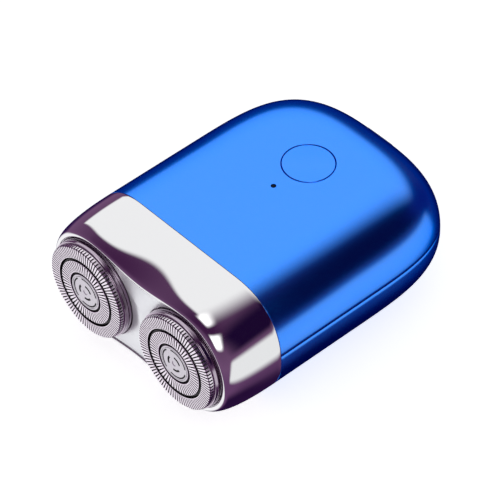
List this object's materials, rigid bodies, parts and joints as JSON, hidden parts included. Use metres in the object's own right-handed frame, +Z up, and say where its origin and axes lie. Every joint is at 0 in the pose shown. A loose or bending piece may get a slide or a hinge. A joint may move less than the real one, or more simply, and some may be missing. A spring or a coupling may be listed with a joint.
{
  "type": "electric shaver",
  "caption": "Pocket rotary shaver with two floating heads in a chromed head unit that pulls off a rounded metallic blue body with a flush button and a charging port.",
  "frame": {"origin": "under the middle of the object, on the flat back it lies on", "axes": "+X across the width, +Y from the cutting heads to the tail, +Z up to the button side"},
  "size_m": [0.0548, 0.0723, 0.0276],
  "materials": {
    "blue_shell": "metallic blue lacquer under a clear coat, very glossy",
    "mirror_chrome": "polished plating",
    "satin_silver": "bright satin silver",
    "cutter_steel": "etched and lapped stainless steel",
    "dark_plastic": "fine moulded texture",
    "pale_plastic": "moulded acetal, satin",
    "black_rubber": "matt",
    "plated_steel": "nickel plated",
    "bearing_brass": "machined",
    "copper_wire": "enamelled",
    "board_green": "solder mask, semi-gloss",
    "clear_plastic": "frosted light guide",
    "cell_wrap": "foil pouch, satin",
    "red_lead": "soft insulation"
  },
  "bodies": {
    "housing": {"top_shell": "blue_shell", "back_shell": "blue_shell", "front_deck": "dark_plastic", "deck_magnets": "plated_steel", "deck_screws": "plated_steel", "spindle_seals": "black_rubber", "gear_plate": "dark_plastic", "inner_frame": "pale_plastic", "motor_can": "plated_steel", "motor_end_cap": "pale_plastic", "motor_bearings": "bearing_brass", "motor_magnets": "plated_steel", "motor_terminals": "bearing_brass", "circuit_board": "board_green", "board_parts": "dark_plastic", "tact_switch": "dark_plastic", "status_led": "clear_plastic", "light_pipe": "clear_plastic", "usb_socket": "plated_steel", "usb_tongue": "dark_plastic", "battery_cell": "cell_wrap", "battery_tabs": "plated_steel", "battery_pad": "black_rubber", "motor_leads": "red_lead", "battery_leads": "red_lead", "button_gasket": "black_rubber"},
    "rotor": {"motor_shaft": "plated_steel", "motor_pinion": "bearing_brass", "motor_armature": "plated_steel", "motor_windings": "copper_wire", "motor_commutator": "bearing_brass"},
    "left_gear": {"left_gear": "pale_plastic", "left_spring": "plated_steel"},
    "right_gear": {"right_gear": "pale_plastic", "right_spring": "plated_steel"},
    "left_spindle": {"left_spindle": "pale_plastic"},
    "right_spindle": {"right_spindle": "pale_plastic"},
    "head_unit": {"head_shell": "mirror_chrome", "head_base": "dark_plastic", "face_plate": "satin_silver", "cutter_retainer": "dark_plastic", "keeper_plates": "plated_steel"},
    "left_head": {"left_foil": "cutter_steel", "left_foil_ring": "mirror_chrome", "left_foil_badge": "mirror_chrome"},
    "right_head": {"right_foil": "cutter_steel", "right_foil_ring": "mirror_chrome", "right_foil_badge": "mirror_chrome"},
    "left_cutter": {"left_blades": "cutter_steel", "left_cutter_hub": "dark_plastic"},
    "right_cutter": {"right_blades": "cutter_steel", "right_cutter_hub": "dark_plastic"},
    "power_button": {"power_button": "blue_shell", "switch_plunger": "dark_plastic"}
  },
  "joints": [
    {"name": "motor_spin", "type": "hinge", "parent": "housing", "child": "rotor", "pos_m": [0, -0.01765, 0.0138], "axis": [0, 1, 0], "continuous": true},
    {"name": "head_pull", "type": "slide", "parent": "housing", "child": "head_unit", "axis": [0, -1, 0], "range_m": [0, 0.025]},
    {"name": "button_press", "type": "slide", "parent": "housing", "child": "power_button", "axis": [0, 0, -1], "range_m": [0, 0.0004], "stiffness_N_per_m": 3000},
    {"name": "left_gear_spin", "type": "hinge", "parent": "housing", "child": "left_gear", "pos_m": [-0.0135, -0.01765, 0.0138], "axis": [0, 1, 0], "continuous": true},
    {"name": "left_float", "type": "slide", "parent": "head_unit", "child": "left_head", "axis": [0, 1, 0], "range_m": [0, 0.0012], "stiffness_N_per_m": 500},
    {"name": "left_spindle_slide", "type": "slide", "parent": "left_gear", "child": "left_spindle", "axis": [0, 1, 0], "range_m": [0, 0.0012]},
    {"name": "left_cutter_spin", "type": "hinge", "parent": "left_head", "child": "left_cutter", "pos_m": [-0.0135, -0.03435, 0.0138], "axis": [0, 1, 0], "continuous": true},
    {"name": "right_gear_spin", "type": "hinge", "parent": "housing", "child": "right_gear", "pos_m": [0.0135, -0.01765, 0.0138], "axis": [0, 1, 0], "continuous": true},
    {"name": "right_float", "type": "slide", "parent": "head_unit", "child": "right_head", "axis": [0, 1, 0], "range_m": [0, 0.0012], "stiffness_N_per_m": 500},
    {"name": "right_spindle_slide", "type": "slide", "parent": "right_gear", "child": "right_spindle", "axis": [0, 1, 0], "range_m": [0, 0.0012]},
    {"name": "right_cutter_spin", "type": "hinge", "parent": "right_head", "child": "right_cutter", "pos_m": [0.0135, -0.03435, 0.0138], "axis": [0, 1, 0], "continuous": true}
  ],
  "couplings": [
    {"joint": "left_gear_spin", "follows": "motor_spin", "ratio": -0.35},
    {"joint": "left_cutter_spin", "follows": "motor_spin", "ratio": -0.35},
    {"joint": "left_spindle_slide", "follows": "left_float", "ratio": 1},
    {"joint": "right_gear_spin", "follows": "motor_spin", "ratio": -0.35},
    {"joint": "right_cutter_spin", "follows": "motor_spin", "ratio": -0.35},
    {"joint": "right_spindle_slide", "follows": "right_float", "ratio": 1}
  ]
}
